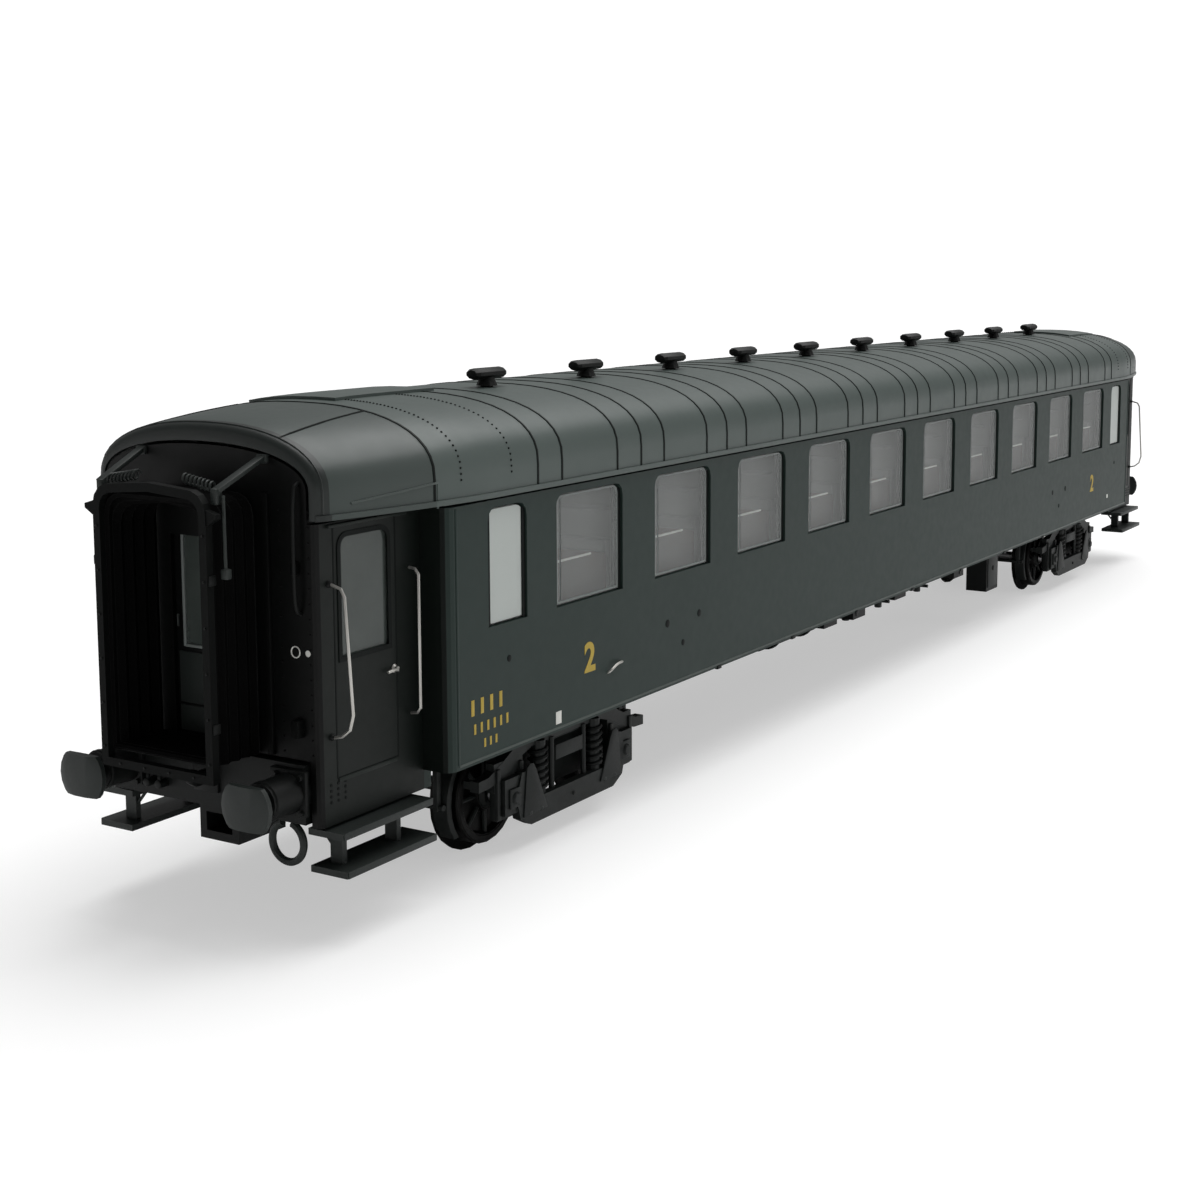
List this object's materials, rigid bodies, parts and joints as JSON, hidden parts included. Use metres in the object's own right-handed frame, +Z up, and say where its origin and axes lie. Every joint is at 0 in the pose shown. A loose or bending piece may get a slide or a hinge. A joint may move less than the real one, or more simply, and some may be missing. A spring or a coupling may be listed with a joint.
{
  "type": "model passenger coach",
  "caption": "Scale model bogie passenger coach with clip-on ribbed roof, side windows, end gangways, sprung buffers, entrance steps and swivelling four-wheel bogies.",
  "frame": {"origin": "under the middle of the coach, level with the lowest point of the wheel flanges", "axes": "+X along the coach, +Y to its right side, +Z up"},
  "size_m": [0.2672, 0.0334, 0.0495],
  "materials": {
    "body_green": "dark green moulded plastic, satin print",
    "roof_grey": "dark grey-green moulded plastic, satin",
    "black_plastic": "black moulded plastic",
    "interior_cream": "pale moulded plastic",
    "steel_plate": "plain sheet",
    "clear_glazing": "clear moulded glazing",
    "vent_black": "black moulded plastic",
    "axle_steel": "turned",
    "wheel_metal": "blackened, bright tread",
    "bogie_black": "black moulded plastic, dry-brushed",
    "gangway_black": "black moulded plastic",
    "bellows_black": "black pleated moulding",
    "hose_black": "black moulding",
    "buffer_black": "black moulded plastic",
    "rail_wire": "pale wire"
  },
  "bodies": {
    "coach": {"body_shell": "body_green", "roof": "roof_grey", "underframe": "black_plastic", "interior": "interior_cream", "ballast_plate": "steel_plate", "glazing_left": "clear_glazing", "glazing_right": "clear_glazing", "door_glass_left_front": "clear_glazing", "door_glass_left_rear": "clear_glazing", "door_glass_right_front": "clear_glazing", "door_glass_right_rear": "clear_glazing", "roof_vent_1": "vent_black", "roof_vent_2": "vent_black", "roof_vent_3": "vent_black", "roof_vent_4": "vent_black", "roof_vent_5": "vent_black", "roof_vent_6": "vent_black", "roof_vent_7": "vent_black", "roof_vent_8": "vent_black", "roof_vent_9": "vent_black", "roof_vent_10": "vent_black", "gangway_frame_front": "gangway_black", "bellows_front": "bellows_black", "brake_hose_front": "hose_black", "steps_left_front": "black_plastic", "handrail_bowed_left_front": "rail_wire", "handrail_straight_left_front": "rail_wire", "steps_right_front": "black_plastic", "handrail_bowed_right_front": "rail_wire", "handrail_straight_right_front": "rail_wire", "gangway_frame_rear": "gangway_black", "bellows_rear": "bellows_black", "brake_hose_rear": "hose_black", "steps_left_rear": "black_plastic", "handrail_bowed_left_rear": "rail_wire", "handrail_straight_left_rear": "rail_wire", "steps_right_rear": "black_plastic", "handrail_bowed_right_rear": "rail_wire", "handrail_straight_right_rear": "rail_wire"},
    "bogie_front": {"bogie_frame_front": "bogie_black"},
    "bogie_rear": {"bogie_frame_rear": "bogie_black"},
    "wheelset_1": {"axle_1": "axle_steel", "wheel_1_left": "wheel_metal", "wheel_1_right": "wheel_metal"},
    "wheelset_2": {"axle_2": "axle_steel", "wheel_2_left": "wheel_metal", "wheel_2_right": "wheel_metal"},
    "wheelset_3": {"axle_3": "axle_steel", "wheel_3_left": "wheel_metal", "wheel_3_right": "wheel_metal"},
    "wheelset_4": {"axle_4": "axle_steel", "wheel_4_left": "wheel_metal", "wheel_4_right": "wheel_metal"},
    "drawbar_front_arm": {"drawbar_front": "black_plastic"},
    "buffer_left_front": {"buffer_head_left_front": "buffer_black"},
    "buffer_right_front": {"buffer_head_right_front": "buffer_black"},
    "drawbar_rear_arm": {"drawbar_rear": "black_plastic"},
    "buffer_left_rear": {"buffer_head_left_rear": "buffer_black"},
    "buffer_right_rear": {"buffer_head_right_rear": "buffer_black"}
  },
  "joints": [
    {"name": "bogie_front_swivel", "type": "hinge", "parent": "coach", "child": "bogie_front", "pos_m": [-0.08725, 0, 0.011], "axis": [0, 0, 1], "range_deg": [-12, 12]},
    {"name": "bogie_rear_swivel", "type": "hinge", "parent": "coach", "child": "bogie_rear", "pos_m": [0.08725, 0, 0.011], "axis": [0, 0, 1], "range_deg": [-12, 12]},
    {"name": "wheelset_1_roll", "type": "hinge", "parent": "bogie_front", "child": "wheelset_1", "pos_m": [-0.098, 0, 0.00625], "axis": [0, 1, 0], "continuous": true},
    {"name": "wheelset_2_roll", "type": "hinge", "parent": "bogie_front", "child": "wheelset_2", "pos_m": [-0.0765, 0, 0.00625], "axis": [0, 1, 0], "continuous": true},
    {"name": "wheelset_3_roll", "type": "hinge", "parent": "bogie_rear", "child": "wheelset_3", "pos_m": [0.0765, 0, 0.00625], "axis": [0, 1, 0], "continuous": true},
    {"name": "wheelset_4_roll", "type": "hinge", "parent": "bogie_rear", "child": "wheelset_4", "pos_m": [0.098, 0, 0.00625], "axis": [0, 1, 0], "continuous": true},
    {"name": "drawbar_front_swing", "type": "hinge", "parent": "coach", "child": "drawbar_front_arm", "pos_m": [-0.112, 0, 0.0092], "axis": [0, 0, 1], "range_deg": [-10, 10], "stiffness_Nm_per_rad": 0.0002},
    {"name": "buffer_left_front_press", "type": "slide", "parent": "coach", "child": "buffer_left_front", "axis": [1, 0, 0], "range_m": [0, 0.0008], "stiffness_N_per_m": 40},
    {"name": "buffer_right_front_press", "type": "slide", "parent": "coach", "child": "buffer_right_front", "axis": [1, 0, 0], "range_m": [0, 0.0008], "stiffness_N_per_m": 40},
    {"name": "drawbar_rear_swing", "type": "hinge", "parent": "coach", "child": "drawbar_rear_arm", "pos_m": [0.112, 0, 0.0092], "axis": [0, 0, 1], "range_deg": [-10, 10], "stiffness_Nm_per_rad": 0.0002},
    {"name": "buffer_left_rear_press", "type": "slide", "parent": "coach", "child": "buffer_left_rear", "axis": [-1, 0, 0], "range_m": [0, 0.0008], "stiffness_N_per_m": 40},
    {"name": "buffer_right_rear_press", "type": "slide", "parent": "coach", "child": "buffer_right_rear", "axis": [-1, 0, 0], "range_m": [0, 0.0008], "stiffness_N_per_m": 40}
  ]
}
